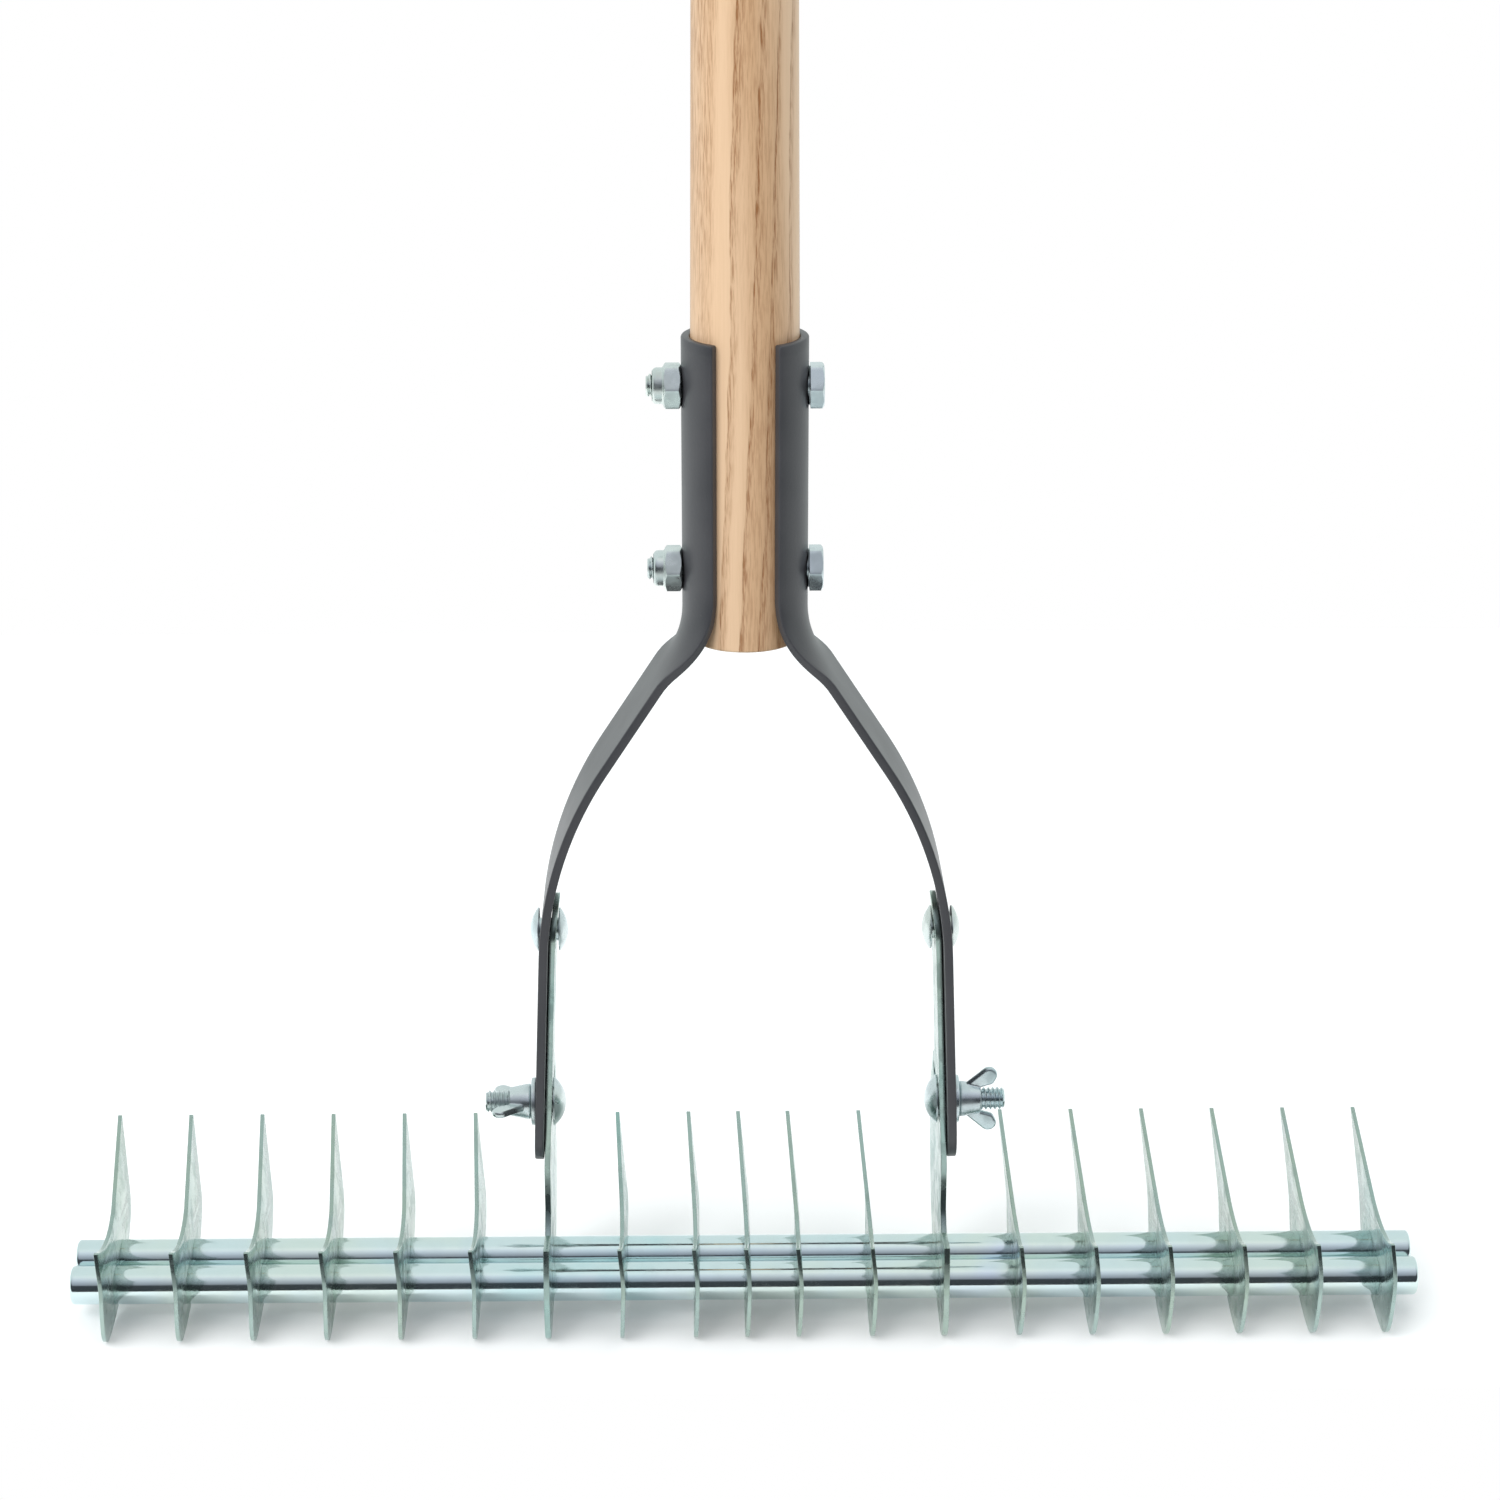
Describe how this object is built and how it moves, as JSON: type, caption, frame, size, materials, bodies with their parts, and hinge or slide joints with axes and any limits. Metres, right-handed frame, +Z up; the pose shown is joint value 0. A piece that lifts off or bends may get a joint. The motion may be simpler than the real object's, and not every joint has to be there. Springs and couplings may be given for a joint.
{
  "type": "lawn thatch rake",
  "caption": "Lawn dethatching rake: a wide row of thin crescent blades on parallel bars, tilting in a strap-steel fork clamped by wing nuts on a long ash handle.",
  "frame": {"origin": "under the middle of the head, at the height of the blades' lowest points", "axes": "+Z up the handle, +X along the two bars, -Y towards the front, the side with the blades' short lobes"},
  "size_m": [0.381, 0.0666, 1.5709],
  "materials": {
    "ash": "clear lacquered ash with open brown grain",
    "fork_paint": "satin dark grey paint",
    "zinc_bars": "bright zinc plate",
    "zinc_blades": "zinc plate with a faint green and yellow tint",
    "zinc_fasteners": "bright zinc plate",
    "nylon": "natural nylon"
  },
  "bodies": {
    "fork": {"handle": "ash", "left_arm": "fork_paint", "right_arm": "fork_paint", "upper_socket_bolt": "zinc_fasteners", "lower_socket_bolt": "zinc_fasteners", "upper_lock_nut": "zinc_fasteners", "lower_lock_nut": "zinc_fasteners", "upper_nylon_insert": "nylon", "lower_nylon_insert": "nylon", "left_rivet": "zinc_fasteners", "right_rivet": "zinc_fasteners", "left_clamp_bolt": "zinc_fasteners", "right_clamp_bolt": "zinc_fasteners"},
    "head": {"front_bar": "zinc_bars", "back_bar": "zinc_bars", "tine_01": "zinc_blades", "tine_02": "zinc_blades", "tine_03": "zinc_blades", "tine_04": "zinc_blades", "tine_05": "zinc_blades", "tine_06": "zinc_blades", "tine_07": "zinc_blades", "tine_08": "zinc_blades", "tine_09": "zinc_blades", "tine_10": "zinc_blades", "tine_11": "zinc_blades", "tine_12": "zinc_blades", "tine_13": "zinc_blades", "tine_14": "zinc_blades", "tine_15": "zinc_blades", "tine_16": "zinc_blades", "tine_17": "zinc_blades", "left_adjuster_plate": "zinc_blades", "right_adjuster_plate": "zinc_blades"},
    "left_washer": {"left_washer": "zinc_fasteners"},
    "left_wing_nut": {"left_wing_nut": "zinc_fasteners"},
    "right_washer": {"right_washer": "zinc_fasteners"},
    "right_wing_nut": {"right_wing_nut": "zinc_fasteners"}
  },
  "joints": [
    {"name": "head_tilt", "type": "hinge", "parent": "fork", "child": "head", "pos_m": [0, -0.00415, 0.1151], "axis": [1, 0, 0], "range_deg": [-12, 1.5]},
    {"name": "left_washer_slide", "type": "slide", "parent": "fork", "child": "left_washer", "axis": [-1, 0, 0], "range_m": [0, 0.00508]},
    {"name": "left_wing_nut_spin", "type": "hinge", "parent": "left_washer", "child": "left_wing_nut", "pos_m": [-0.06, -0.00415, 0.0632], "axis": [-1, 0, 0], "range_deg": [0, 1440]},
    {"name": "right_washer_slide", "type": "slide", "parent": "fork", "child": "right_washer", "axis": [1, 0, 0], "range_m": [0, 0.00508]},
    {"name": "right_wing_nut_spin", "type": "hinge", "parent": "right_washer", "child": "right_wing_nut", "pos_m": [0.06, -0.00415, 0.0632], "axis": [1, 0, 0], "range_deg": [0, 1440]}
  ],
  "couplings": [
    {"joint": "left_wing_nut_spin", "follows": "left_washer_slide", "rad_per_m": 4947.4},
    {"joint": "right_wing_nut_spin", "follows": "right_washer_slide", "rad_per_m": 4947.4}
  ]
}
